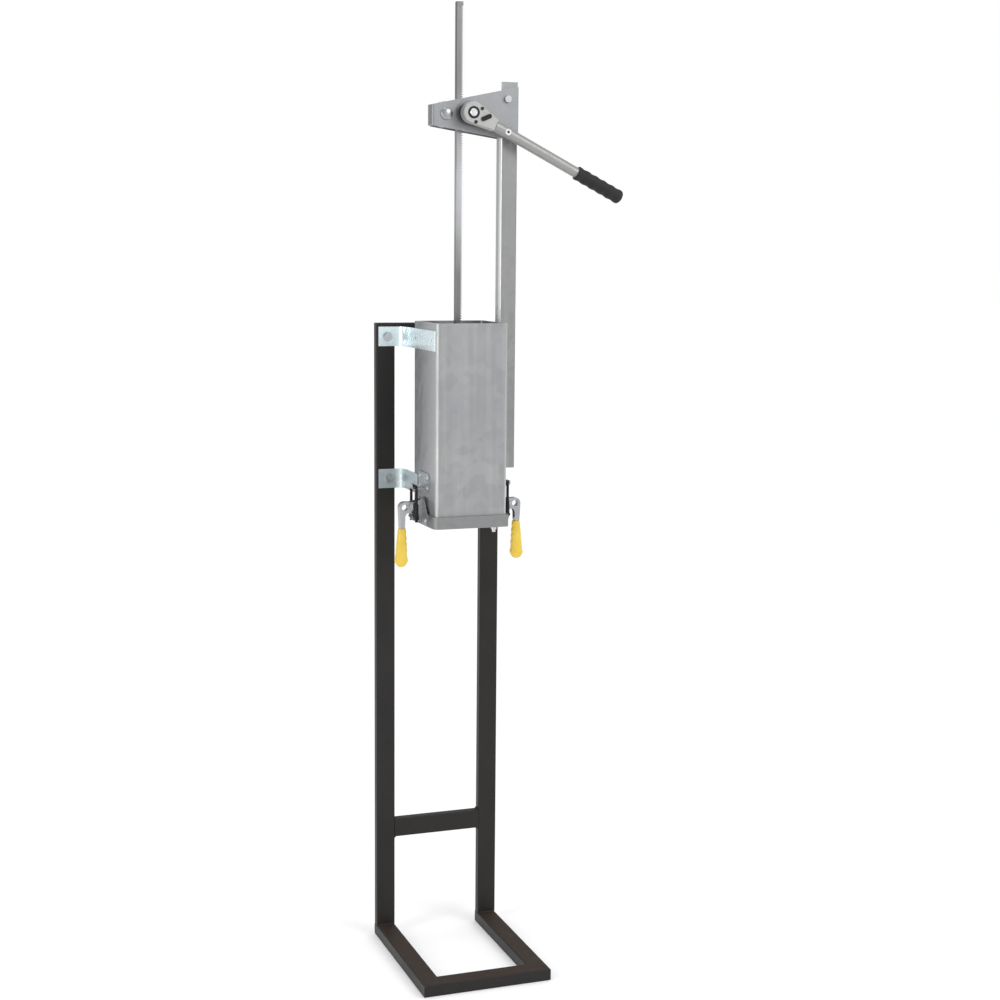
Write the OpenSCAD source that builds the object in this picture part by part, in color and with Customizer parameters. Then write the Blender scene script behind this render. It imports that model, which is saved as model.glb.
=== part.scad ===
/* [Stand] */
// Width over the two uprights
stand_w = 270; // [250:1:300]
// Height of the uprights
stand_h = 1320; // [1315:1:1335]
// Face width of the stand's rectangular tube
tube_w = 40; // [40:1:42]
// Depth of the uprights and rails
tube_d = 20; // [18:1:24]
// Height of the feet and front bar
foot_h = 25; // [20:1:30]
// Wall of the stand's tube
tube_wall = 2; // [1.5:0.5:3]
// Distance from the front of the front bar to the barrel's axis
front_reach = 195; // [180:1:230]
// Underside of the cross rail above the floor
cross_z = 220; // [150:1:400]

/* [Barrel] */
// Outside width of the square barrel
barrel_w = 150; // [150:1:150]
// Barrel's wall
barrel_wall = 4; // [3:0.5:5]
// Outside corner radius of the barrel
barrel_r = 9; // [6:1:12]
// Bottom end of the barrel
barrel_z0 = 929; // [929:1:929]
// Rim of the barrel
barrel_z1 = 1327; // [1325:1:1335]
// Diameter of the round hole in the die plate
die_hole_d = 50; // [20:1:80]

/* [Mast and head] */
// Width of the mast's tube
mast_w = 35; // [35:1:35]
// Depth of the mast's tube
mast_d = 30; // [30:1:30]
// Top of the mast behind the head
mast_z1 = 1776; // [1774:1:1778]
// Height of the pinion's axis
axis_z = 1736; // [1730:1:1742]

/* [Rack and pinion] */
// Side of the square rack bar
rack_s = 12.7; // [12:0.1:14]
// Tooth module
mod_t = 1.5875; // [1.5:0.0125:1.6]
// Teeth on the pinion
pinion_n = 11; // [11:1:11]
// Top of the plunger plate as the rack stands
plunger_z = 1071; // [1000:1:1100]
// Top end of the rack
rack_z1 = 1951; // [1900:1:1980]

/* [Ratchet lever] */
// Slope of the lever below level
lever_tilt = 26.6; // [0:0.1:60]
// Length from the pinion's axis to the grip's end
lever_len = 358; // [350:1:370]

/* [Hidden] */

// Colours
c_stand = [0.22, 0.21, 0.205];
c_zinc = [0.66, 0.67, 0.68];
c_bright = [0.80, 0.85, 0.85];
c_bolt = [0.70, 0.71, 0.72];
c_black = [0.07, 0.07, 0.075];
c_satin = [0.62, 0.62, 0.61];
c_yellow = [0.93, 0.72, 0.18];
c_rubber = [0.12, 0.12, 0.13];

// The floor point under the middle of the front bar is the origin,
// and the barrel's axis stands this far behind it
ay = front_reach - tube_w / 2;
up_x = stand_w / 2 - tube_w / 2;      // middle of an upright
up_y0 = 140;                          // front of the uprights, from the barrel's axis
up_y1 = up_y0 + tube_d;
bh = barrel_w / 2;
bz_up = 1272.5;                       // underside of the upper brackets
bz_lo = 977.5;                        // underside of the lower brackets
bk_h = 40;                            // brackets' height
bk_t = 3;                             // brackets' thickness
bk_r = 22;                            // outside radius of the brackets' bend
mx0 = bh + bk_t;                      // mast's inner face
my = mast_d / 2;
pl_t = 3;                             // head plates' thickness
rp = mod_t * pinion_n / 2;            // pinion's pitch radius
rack_x = -5.8;                          // middle of the rack bar
pitch_x = rack_x + rack_s / 2 - mod_t;
px = pitch_x + rp + 0.04;             // pinion's axis
pitch = PI * mod_t;
roll_r = 25;
roll_x = rack_x - rack_s / 2 - roll_r - 0.05;
pa = 25;                              // pressure angle

// ---- shapes ----
function arcp(cx, cy, r, a0, a1, n) =
  [for (i = [0:n]) [cx + r * cos(a0 + (a1 - a0) * i / n), cy + r * sin(a0 + (a1 - a0) * i / n)]];
function rrect(w, h, r, n = 6) = concat(
  arcp(w / 2 - r, h / 2 - r, r, 0, 90, n), arcp(-w / 2 + r, h / 2 - r, r, 90, 180, n),
  arcp(-w / 2 + r, -h / 2 + r, r, 180, 270, n), arcp(w / 2 - r, -h / 2 + r, r, 270, 360, n));

module at_axis() { translate([0, ay, 0]) children(); }

// Rectangular tube along z from the floor of its own frame
module tube(w, d, len, wall = tube_wall, r = 3) {
  difference() {
    linear_extrude(len) polygon(rrect(w, d, r));
    translate([0, 0, -1]) linear_extrude(len + 2) polygon(rrect(w - 2 * wall, d - 2 * wall, max(r - wall, 0.8), 3));
  }
}
// A cylinder along y, from y0 to y1
module cyl_y(r, y0, y1, fn = 48) { translate([0, y1, 0]) rotate([90, 0, 0]) cylinder(r = r, h = y1 - y0, $fn = fn); }
module cyl_x(r, x0, x1, fn = 48) { translate([x0, 0, 0]) rotate([0, 90, 0]) cylinder(r = r, h = x1 - x0, $fn = fn); }
// Outline in x and z, given a thickness from y0 to y1
module slab_y(y0, y1) { translate([0, y1, 0]) rotate([90, 0, 0]) linear_extrude(y1 - y0) children(); }
module hexa(af, h) { cylinder(r = af / sqrt(3), h = h, $fn = 6); }

// ---- stand ----
module upright(s) {
  difference() {
    translate([s * up_x, (up_y0 + up_y1) / 2, foot_h]) tube(tube_w, tube_d, stand_h - foot_h - 2);
    for (p = [[112, 1292], [109, 997.5]]) translate([s * p[0], 0, p[1]]) cyl_y(5.25, up_y0 - 5, up_y1 + 5);
  }
}
module rail(z) {
  translate([-up_x + tube_w / 2, (up_y0 + up_y1) / 2, z + tube_w / 2]) rotate([0, 90, 0]) tube(tube_w, tube_d, 2 * up_x - tube_w);
}
module left_upright() { color(c_stand) at_axis() upright(-1); }
module right_upright() { color(c_stand) at_axis() upright(1); }
module top_rail() { color(c_stand) at_axis() rail(stand_h - tube_w); }
module cross_rail() { color(c_stand) at_axis() rail(cross_z); }
module foot(s) {
  f = -front_reach;
  intersection() {
    translate([s * up_x, up_y1 - 2, foot_h / 2]) rotate([90, 0, 0]) tube(tube_w, foot_h, up_y1 - 2 + front_reach);
    translate([0, 0, -1]) linear_extrude(foot_h + 2)
      polygon([[s * (up_x + tube_w / 2 + 1), f - 1], [s * (up_x - tube_w / 2 - 1), f + tube_w + 1],
        [s * (up_x - tube_w / 2 - 1), up_y1], [s * (up_x + tube_w / 2 + 1), up_y1]]);
  }
}
module left_foot() { color(c_stand) at_axis() foot(-1); }
module right_foot() { color(c_stand) at_axis() foot(1); }
module front_bar() {
  f = -front_reach;
  h = stand_w / 2;
  color(c_stand) at_axis() intersection() {
    translate([-h, f + tube_w / 2, foot_h / 2]) rotate([90, 0, 90]) tube(tube_w, foot_h, stand_w);
    translate([0, 0, -1]) linear_extrude(foot_h + 2)
      polygon([[-h, f], [h, f], [h - tube_w, f + tube_w], [-h + tube_w, f + tube_w]]);
  }
}
module tube_end_caps() {
  color(c_stand) at_axis() for (s = [-1, 1]) {
    translate([s * up_x, (up_y0 + up_y1) / 2, stand_h - 2]) linear_extrude(2) polygon(rrect(tube_w, tube_d, 3));
    translate([s * up_x, up_y1, foot_h / 2]) rotate([90, 0, 0]) linear_extrude(2) polygon(rrect(tube_w, foot_h, 3));
  }
}

// ---- brackets between the barrel and the stand ----
module bracket(s, z, reach, hx, hz) {
  t = bk_t;
  difference() {
    mirror([s < 0 ? 1 : 0, 0, 0]) translate([0, 0, z]) linear_extrude(bk_h)
      polygon(concat([[131, up_y0]], arcp(bh + bk_r, up_y0 - bk_r, bk_r, 90, 180, 14), [[bh, reach], [bh + t, reach]],
        arcp(bh + bk_r, up_y0 - bk_r, bk_r - t, 180, 90, 14), [[131, up_y0 - t]]));
    translate([s * hx, 0, hz]) cyl_y(5.25, up_y0 - 10, up_y0 + 5);
    for (y = bracket_ys(z)) translate([0, y, z + bk_h / 2]) cyl_x(3, s > 0 ? bh - 1 : -bh - t - 1, s > 0 ? bh + t + 1 : -bh + 1);
    if (s > 0 && z > 1200) translate([0, 0, z + bk_h / 2]) cyl_x(4.1, bh - 1, bh + t + 1);
  }
}
function bracket_ys(z) = z > 1200 ? [-52, 52] : [46, 60];
module upper_left_bracket() { color(c_bright) at_axis() bracket(-1, bz_up, -70, 112, 1292); }
module upper_right_bracket() { color(c_bright) at_axis() bracket(1, bz_up, -57, 112, 1292); }
module lower_left_bracket() { color(c_bright) at_axis() bracket(-1, bz_lo, 38, 109, 997.5); }
module lower_right_bracket() { color(c_bright) at_axis() bracket(1, bz_lo, 38, 109, 997.5); }
module bracket_bolts() {
  color(c_bolt) at_axis() for (s = [-1, 1]) for (p = [[112, 1292], [109, 997.5]]) translate([s * p[0], 0, p[1]]) {
    difference() { cyl_y(10, up_y0 - bk_t - 2, up_y0 - bk_t); cyl_y(5, up_y0 - 10, up_y0); }
    translate([0, up_y0 - bk_t - 2, 0]) rotate([90, 12, 0]) hexa(16, 6.4);
    cyl_y(5, up_y0 - bk_t - 2, up_y1 + 11);
  }
}
module bracket_nuts() {
  color(c_bolt) at_axis() for (s = [-1, 1]) for (p = [[112, 1292], [109, 997.5]]) translate([s * p[0], up_y1, p[1]]) difference() {
    union() {
      cyl_y(10, 0, 2);
      translate([0, 9.5, 0]) rotate([90, 0, 0]) hexa(16, 7.5);
    }
    cyl_y(5.05, -1, 12);
  }
}
// Countersunk screws, put in from inside the barrel and into the brackets
module csk_x(d, len) {
  // head's flat face at the origin, pointing along +x
  rotate([0, 90, 0]) cylinder(r1 = d, r2 = d / 2, h = d / 2, $fn = 40);
  cyl_x(d / 2, 0, len);
}
module bracket_screws() {
  color(c_bolt) at_axis() for (s = [-1, 1]) for (z = [bz_up, bz_lo]) for (y = bracket_ys(z))
    translate([s * (bh - barrel_wall), y, z + bk_h / 2]) mirror([s < 0 ? 1 : 0, 0, 0]) csk_x(6, barrel_wall + bk_t);
}

// ---- barrel and die ----
module barrel() {
  color(c_zinc) at_axis() difference() {
    translate([0, 0, barrel_z0]) linear_extrude(barrel_z1 - barrel_z0) difference() {
      polygon(rrect(barrel_w, barrel_w, barrel_r, 10));
      polygon(rrect(barrel_w - 2 * barrel_wall, barrel_w - 2 * barrel_wall, barrel_r - barrel_wall, 8));
    }
    for (s = [-1, 1]) for (z = [bz_up, bz_lo]) for (y = bracket_ys(z))
      translate([s * (bh - barrel_wall), y, z + bk_h / 2]) mirror([s < 0 ? 1 : 0, 0, 0]) translate([-0.01, 0, 0]) csk_x(6.1, barrel_wall + 1);
    for (z = [1062, bz_up + bk_h / 2]) translate([bh - barrel_wall - 0.01, 0, z]) csk_x(8.1, barrel_wall + 1);
    for (s = [-1, 1]) for (y = [-24, 24]) for (z = [997, 1017]) translate([0, y, z]) cyl_x(2.5, s > 0 ? bh - 5 : -bh - 1, s > 0 ? bh + 1 : -bh + 5);
  }
}
module die_frame() {
  w = 160;
  color(c_zinc) at_axis() difference() {
    translate([0, 0, 920]) linear_extrude(24) polygon(rrect(w, w, 12, 8));
    translate([0, 0, 923]) linear_extrude(30) polygon(rrect(151, 151, 9));
    translate([0, 0, 910]) linear_extrude(30) polygon(rrect(120, 120, 4));
    for (p = [[50, -67], [-50, 67]]) translate([p[0], p[1], 915]) cylinder(r = 3, h = 20, $fn = 32);
    for (s = [-1, 1]) for (y = [-29, 29]) translate([0, y, 932]) cyl_x(2.5, s > 0 ? 74 : -81, s > 0 ? 81 : -74);
  }
}
module die_plate() {
  color(c_zinc) at_axis() difference() {
    translate([0, 0, 923]) linear_extrude(6) polygon(rrect(150.4, 150.4, 9));
    translate([0, 0, 920]) cylinder(r = die_hole_d / 2, h = 12, $fn = 64);
    for (p = [[50, -67], [-50, 67]]) translate([p[0], p[1], 915]) cylinder(r = 3, h = 12, $fn = 32);
  }
}
module die_screws() {
  color(c_bolt) at_axis() for (p = [[50, -67], [-50, 67]]) translate([p[0], p[1], 0]) {
    translate([0, 0, 914]) cylinder(r = 5.5, h = 6, $fn = 40);
    translate([0, 0, 914]) cylinder(r = 3, h = 13, $fn = 32);
    translate([0, 0, 909]) cylinder(r = 3.6, h = 5, $fn = 32);
  }
}

// ---- mast ----
module mast() {
  color(c_zinc) at_axis() difference() {
    union() {
      translate([mx0 + mast_w / 2, 0, 1031]) tube(mast_w, mast_d, mast_z1 - 1031, 2.5, 4);
      translate([mx0 + 0.5, -my, mast_z1 - 4]) cube([mast_w - 1, 2.5, 1804 - mast_z1]);
    }
    for (z = [1062, bz_up + bk_h / 2]) translate([0, 0, z]) cyl_x(4.1, mx0 - 1, mx0 + 5);
    for (p = head_bolt_at) translate([p[0], 0, p[1]]) cyl_y(4.1, -my - 1, my + 1);
  }
}
module mast_spacer() {
  color(c_zinc) at_axis() difference() {
    translate([bh, 0, 1062]) rotate([0, 90, 0]) linear_extrude(bk_t) polygon(rrect(34, 30, 3, 4));
    translate([0, 0, 1062]) cyl_x(4.1, bh - 1, bh + bk_t + 1);
  }
}
// Countersunk bolts from inside the barrel, into nuts held in the mast's inner wall
module mast_bolts() {
  color(c_bolt) at_axis() for (z = [1062, bz_up + bk_h / 2]) translate([bh - barrel_wall, 0, z]) csk_x(8, barrel_wall + bk_t + 14);
}
module mast_nuts() {
  color(c_bolt) at_axis() for (z = [1062, bz_up + bk_h / 2]) translate([mx0 + 2.5, 0, z]) difference() {
    union() { cyl_x(8, 0, 1.6); rotate([0, 90, 0]) translate([0, 0, 1.6]) hexa(13, 6.5); }
    cyl_x(4.05, -1, 12);
  }
}

// ---- head ----
head_bolt_at = [[89.9, 1766.5], [92, 1698.5]];
head_x0 = -67.5;
head_web_y = 6.4;                     // back edge of the front plate's folded end
rear_x0 = -60;                        // left end of the rear plate
head_x1 = mx0 + mast_w;
head_out = [[head_x0, 1711.7], [head_x0, 1751.5], [head_x1, 1790.5], [head_x1, 1685.3]];
module head_holes() {
  for (p = head_bolt_at) translate([p[0], 0, p[1]]) cyl_y(4.1, -30, 30);
  translate([roll_x, 0, axis_z - 2]) cyl_y(6.05, -30, 30);
  translate([px, 0, axis_z]) cyl_y(12, -30, 30);
}
module head_front_plate() {
  color(c_zinc) at_axis() difference() {
    intersection() {
      // folded section, front wall and left web
      translate([0, 0, 1600]) linear_extrude(300) polygon(concat(
        [[head_x1, -my]], arcp(head_x0 + 5, -my + 2, 2, 270, 180, 5), [[head_x0 + pl_t, head_web_y], [head_x0, head_web_y]],
        arcp(head_x0 + 5, -my + 2, 5, 180, 270, 7), [[head_x1, -my - pl_t]]));
      slab_y(-50, 50) polygon(head_out);
    }
    head_holes();
  }
}
module head_rear_plate() {
  color(c_zinc) at_axis() difference() {
    slab_y(my, my + pl_t) polygon([[rear_x0, 1710.6], [rear_x0, 1753.1], [head_x1, 1790.5], [head_x1, 1685.3]]);
    head_holes();
  }
}
module head_bolts() {
  color(c_bolt) at_axis() for (p = head_bolt_at) translate([p[0], 0, p[1]]) {
    translate([0, -my - pl_t, 0]) rotate([90, 20, 0]) hexa(13, 5.3);
    cyl_y(4, -my - pl_t, my + pl_t + 9);
  }
}
module head_nuts() {
  color(c_bolt) at_axis() {
    for (p = head_bolt_at) translate([p[0], my + pl_t, p[1]]) difference() {
      translate([0, 6.5, 0]) rotate([90, 0, 0]) hexa(13, 6.5);
      cyl_y(4.05, -1, 9);
    }
    translate([roll_x, my + pl_t, axis_z - 2]) difference() {
      translate([0, 9, 0]) rotate([90, 0, 0]) hexa(19, 9);
      cyl_y(6.05, -1, 12);
    }
  }
}

// ---- drive train ----
function inv(a) = tan(a) * 180 / PI - a;                 // involute angle in degrees
function roll_at(rb, r) = acos(rb / r);
// one flank of a pinion tooth, from the root to the tip, as polar angle from the tooth's middle
function half_ang(r) = (PI / 2 / pinion_n - 0.05 / rp) * 180 / PI + inv(pa) - inv(roll_at(rp * cos(pa), r));
module pinion_shape() {
  ra = rp + mod_t * 0.98;
  rb = rp * cos(pa);
  rf = rp - 1.25 * mod_t;
  st = 6;
  tooth = concat(
    [[rf, -half_ang(rb + 0.001)]],
    [for (i = [0:st]) let (r = rb + 0.001 + (ra - rb) * i / st) [r, -half_ang(r)]],
    [for (i = [st:-1:0]) let (r = rb + 0.001 + (ra - rb) * i / st) [r, half_ang(r)]],
    [[rf, half_ang(rb + 0.001)]]);
  polygon([for (k = [0:pinion_n - 1]) each
    [for (q = tooth) [q[0] * cos(q[1] + 360 / pinion_n * k), q[0] * sin(q[1] + 360 / pinion_n * k)]]]);
}
// a rack tooth space faces the pinion's axis, so one pinion tooth points straight at the rack
module pinion() {
  color(c_satin) at_axis() translate([px, 0, axis_z]) difference() {
    union() {
      rotate([90, 0, 0]) translate([0, 0, -7]) linear_extrude(14) rotate([0, 0, 180]) pinion_shape();
      cyl_y(7.4, 6.9, 12);
    }
    cyl_y(5, -8, 13);
    translate([0, 9.6, -12]) cylinder(r = 1.5, h = 24, $fn = 24);
  }
}
module pinion_shaft() {
  color(c_satin) at_axis() translate([px, 0, axis_z]) difference() {
    cyl_y(5, -22.2, 23);
    translate([0, 9.6, -12]) cylinder(r = 1.5, h = 24, $fn = 24);
    translate([0, -10.5, -12]) cylinder(r = 1.5, h = 24, $fn = 24);
  }
}
module shaft_pins() {
  color(c_black) at_axis() translate([px, 0, axis_z]) {
    translate([0, 9.6, -7.4]) cylinder(r = 1.5, h = 14.8, $fn = 24);
    translate([0, -10.5, -7.9]) cylinder(r = 1.5, h = 15.8, $fn = 24);
  }
}
module front_bush() {
  color(c_zinc) at_axis() translate([px, 0, axis_z]) difference() {
    union() { cyl_y(12, -my - pl_t, -my + 2); cyl_y(26, -my - pl_t - 2.6, -my - pl_t, 64); }
    cyl_y(8.05, -30, 0);
  }
}
module rear_bush() {
  color(c_zinc) at_axis() translate([px, 0, axis_z]) difference() {
    union() { cyl_y(12, my - 2, my + pl_t); cyl_y(17, my + pl_t, my + pl_t + 2.5, 64); }
    cyl_y(5.05, 0, 30);
  }
}
module drive_socket() {
  color(c_black) at_axis() translate([px, 0, axis_z]) difference() {
    union() { cyl_y(20, -31.6, -21.2, 64); cyl_y(8, -22, -8.3); }
    cyl_y(5, -22.2, -5);
    translate([-6.45, -40, -6.45]) cube([12.9, 17.8, 12.9]);
    translate([0, -10.5, -12]) cylinder(r = 1.5, h = 24, $fn = 24);
  }
}
module guide_roller() {
  color(c_satin) at_axis() translate([roll_x, 0, axis_z - 2]) rotate([90, 0, 0]) difference() {
    translate([0, 0, -7]) rotate_extrude($fn = 72) polygon([[6.05, 0], [24, 0], [roll_r, 1], [roll_r, 13], [24, 14], [18, 14], [17, 13.2], [11, 13.2], [10, 14], [6.05, 14]]);
  }
}
module roller_spacers() {
  color(c_zinc) at_axis() translate([roll_x, 0, axis_z - 2]) {
    difference() { cyl_y(9, -my, -7.15); cyl_y(6.05, -20, 0); }
    difference() { cyl_y(9, 7.15, my); cyl_y(6.05, 0, 20); }
  }
}
module roller_axle() {
  color(c_bolt) at_axis() translate([roll_x, 0, axis_z - 2]) {
    cyl_y(6, -my - pl_t, my + pl_t + 11);
    translate([0, -my - pl_t, 0]) rotate([90, 0, 0]) rotate_extrude($fn = 56)
      polygon(concat([[0, 0], [12.2, 0]], [for (i = [0:7]) [12.2 * cos(i * 90 / 7 * 0.98), 1 + 4.6 * sin(i * 90 / 7)]], [[0, 5.6]]));
  }
}
module rack() {
  z0 = plunger_z - 12;
  n = floor((rack_z1 - 6 - (plunger_z + 24)) / pitch);
  // tooth spaces are centred on the pinion's axis height plus whole pitches
  k0 = -floor((axis_z - (plunger_z + 24)) / pitch);
  hx = rack_s / 2;
  color(c_zinc) at_axis() translate([rack_x, -rack_s / 2, 0]) difference() {
    translate([0, rack_s, 0]) rotate([90, 0, 0]) linear_extrude(rack_s) polygon(concat(
      [[-hx, rack_z1], [-hx, z0], [hx, z0]],
      [for (i = [0:n - 1]) each [
        [hx, axis_z + (k0 + i) * pitch - rack_hw(hx)],
        [hx - 2.25 * mod_t, axis_z + (k0 + i) * pitch - rack_hw(hx - 2.25 * mod_t)],
        [hx - 2.25 * mod_t, axis_z + (k0 + i) * pitch + rack_hw(hx - 2.25 * mod_t)],
        [hx, axis_z + (k0 + i) * pitch + rack_hw(hx)]]],
      [[hx, rack_z1]]));
    translate([0, rack_s / 2, z0 - 1]) cylinder(r = 3, h = 22, $fn = 32);
  }
}
// half width of a tooth space at x, measured in the bar's own frame
function rack_hw(x) = pitch / 4 + (x - (rack_s / 2 - mod_t)) * tan(pa);
module plunger_plate() {
  w = barrel_w - 2 * barrel_wall - 0.9;
  color(c_zinc) at_axis() difference() {
    union() {
      translate([0, 0, plunger_z - 12]) linear_extrude(12) polygon(rrect(w, w, 5));
      translate([rack_x, 0, plunger_z]) linear_extrude(16) polygon(rrect(34, 34, 4));
    }
    translate([rack_x - rack_s / 2, -rack_s / 2, plunger_z - 12]) cube([rack_s, rack_s, 40]);
    for (x = [-45, 45]) for (y = [-45, 45]) translate([x, y, plunger_z - 30]) cylinder(r = 3, h = 24, $fn = 32);
  }
}
module plunger_wiper() {
  w = barrel_w - 2 * barrel_wall - 0.4;
  color(c_rubber) at_axis() difference() {
    translate([0, 0, plunger_z - 18]) linear_extrude(6) polygon(rrect(w, w, 5));
    for (p = plunger_screw_at) translate([p[0], p[1], plunger_z - 18.01]) { cylinder(r = 3.15, h = 10, $fn = 32); cylinder(r1 = 6.2, r2 = 3.15, h = 3.1, $fn = 32); }
  }
}
plunger_screw_at = [[rack_x, 0], [-45, -45], [45, -45], [-45, 45], [45, 45]];
module plunger_screws() {
  color(c_bolt) at_axis() for (p = plunger_screw_at) translate([p[0], p[1], plunger_z - 18]) {
    cylinder(r = 3, h = 22 - (p[1] != 0 ? 11 : 0), $fn = 32);
    cylinder(r1 = 6, r2 = 3, h = 3, $fn = 32);
  }
}

// ---- ratchet lever: u runs along the lever, v across it ----
module lever_frame() { at_axis() translate([px, 0, axis_z]) rotate([0, lever_tilt, 0]) children(); }
hy0 = -52;   // front of the ratchet head
hy1 = -32;   // back of the ratchet head
hyc = (hy0 + hy1) / 2;
// round head with tangents down to the neck, as one outline
neck_u = 53;
neck_h = 11.2;
function tang(r, u, v) = atan2(v, u) + acos(r / sqrt(u * u + v * v));
module head_shape(g = 0) {
  t = tang(21 - g, neck_u - g, neck_h - g);
  polygon(concat(arcp(0, 0, 21 - g, t, 360 - t, 48), [[neck_u - g, g - neck_h], [neck_u - g, neck_h - g]]));
}
module ratchet_housing() {
  color(c_satin) lever_frame() difference() {
    slab_y(hy0 + 2, hy1) head_shape();
    cyl_y(16, hy0 + 4, hy1 + 1, 72);
    cyl_y(12.05, hy0 - 1, hy0 + 5, 72);
    translate([23, 0, -2]) cyl_y(3.1, hy0 - 1, hy0 + 12);
    for (v = [-14.5, 14.5]) translate([12, 0, v]) cyl_y(1.8, hy0 - 1, hy0 + 10, 24);
    translate([36, hyc, 0]) rotate([0, 90, 0]) cylinder(r = 7, h = 20, $fn = 48);
  }
}
module ratchet_cover() {
  color(c_satin) lever_frame() difference() {
    slab_y(hy0, hy0 + 2) head_shape(1);
    cyl_y(12.05, hy0 - 1, hy0 + 5, 72);
    translate([23, 0, -2]) cyl_y(3.1, hy0 - 1, hy0 + 12);
    for (v = [-14.5, 14.5]) translate([12, 0, v]) cyl_y(1.8, hy0 - 1, hy0 + 10, 24);
  }
}
module ratchet_gear() {
  color(c_black) at_axis() translate([px, 0, axis_z]) difference() {
    union() {
      slab_y(hy0 + 4.2, hy1 + 0.2) polygon([for (i = [0:71]) [(i % 2 == 0 ? 15.9 : 14.9) * cos(i * 5), (i % 2 == 0 ? 15.9 : 14.9) * sin(i * 5)]]);
      cyl_y(12, hy0 - 0.3, hy0 + 4.4, 72);
      translate([-6.35, hy1, -6.35]) cube([12.7, 9.6, 12.7]);
    }
    cyl_y(7.6, hy0 - 1, hy0 + 7, 48);
    cyl_y(3.05, hy0 - 1, hy1 + 2, 32);
  }
}
module release_button() {
  color(c_bolt) at_axis() translate([px, 0, axis_z]) {
    translate([0, hy0 + 3.5, 0]) rotate([90, 0, 0]) rotate_extrude($fn = 56) polygon([[0, 0], [7.5, 0], [7.5, 4.6], [6.9, 5.2], [3.2, 5.2], [2.6, 4.7], [0, 4.7]]);
    cyl_y(3, hy0 + 3, hy1 - 1.6, 32);
  }
}
module reversing_lever() {
  color(c_black) lever_frame() translate([23, 0, -2]) {
    cyl_y(3, hy0 - 0.5, hy0 + 11);
    slab_y(hy0 - 3.2, hy0 - 0.4) {
      circle(r = 4.4, $fn = 40);
      rotate([0, 0, 50]) { translate([0, -3.2]) square([14, 6.4]); translate([14, 0]) circle(r = 3.2, $fn = 32); }
    }
  }
}
module cover_screws() {
  color(c_black) lever_frame() for (v = [-14.5, 14.5]) translate([12, 0, v]) difference() {
    union() { cyl_y(1.75, hy0 - 0.5, hy0 + 9, 24); cyl_y(3.3, hy0 - 1.2, hy0, 32); }
    translate([0, hy0 - 0.5, 0]) rotate([90, 0, 0]) hexa(2.6, 3);
  }
}
module handle_tube() {
  color(c_satin) lever_frame() difference() {
    union() {
      translate([53, hyc, 0]) rotate([0, 90, 0]) cylinder(r = 10.6, h = lever_len - 58, $fn = 64);
      translate([36.2, hyc, 0]) rotate([0, 90, 0]) cylinder(r = 7, h = 17, $fn = 48);
    }
    translate([60, hyc, 0]) rotate([0, 90, 0]) cylinder(r = 7.5, h = 400, $fn = 48);
    translate([80, 0, 0]) { cyl_y(3, hy0 - 5, hyc, 32); cyl_y(6.3, hy0 - 5, hy0 + 1, 40); }
  }
}
module handle_screw() {
  color(c_bolt) lever_frame() translate([80, 0, 0]) difference() {
    union() { cyl_y(3, hy0 - 0.5, hyc + 2, 32); cyl_y(6.2, hy0 - 1.4, hy0 + 1, 40); }
    translate([0, hy0 + 0.8, 0]) rotate([90, 0, 0]) hexa(5, 4);
  }
}
module handle_grip() {
  gl = lever_len - 248;
  color(c_rubber) lever_frame() translate([248, hyc, 0]) rotate([0, 90, 0]) rotate_extrude($fn = 64)
    polygon(concat([[10.65, 0], [13.6, 0], [14.2, 1.2]],
      [for (i = [1:25]) [13.7 + 0.7 * cos(i * 360 / 5), 2 + i * (gl - 12) / 25]],
      [for (i = [0:6]) [14.2 * cos(i * 15), gl - 8 + 8 * sin(i * 15)]], [[0, gl], [0, gl - 4.5], [10.65, gl - 4.5]]));
}

// ---- toggle latches, drawn for the right side ----
lp = [100.5, 958];    // lever's pivot in x and z
lt = [97.5, 936];     // trunnion in x and z
leg_y = 17.5;         // half the distance between the hook bolt's legs
module mir(s) { at_axis() mirror([s < 0 ? 1 : 0, 0, 0]) children(); }
module latch_base(s) {
  color(c_zinc) mir(s) difference() {
    union() {
      translate([80, 0, 0]) rotate([90, 0, 90]) linear_extrude(2.5)
        polygon([[-38, 921], [38, 921], [38, 942], [14, 975], [-14, 975], [-38, 942]]);
      for (y = [-11, 8.5]) slab_y(y, y + 2.5) {
        polygon([[80, 926], [86, 926], [92, 947.5], [lp[0], 948.5], [lp[0], 967.5], [90, 970], [82.5, 974], [80, 974]]);
        translate([lp[0], lp[1]]) circle(r = 9.5, $fn = 48);
      }
    }
    translate([lp[0], 0, lp[1]]) cyl_y(3, -20, 20, 32);
    for (y = [-29, 29]) translate([0, y, 932]) cyl_x(2.5, 79, 84, 32);
  }
}
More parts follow.
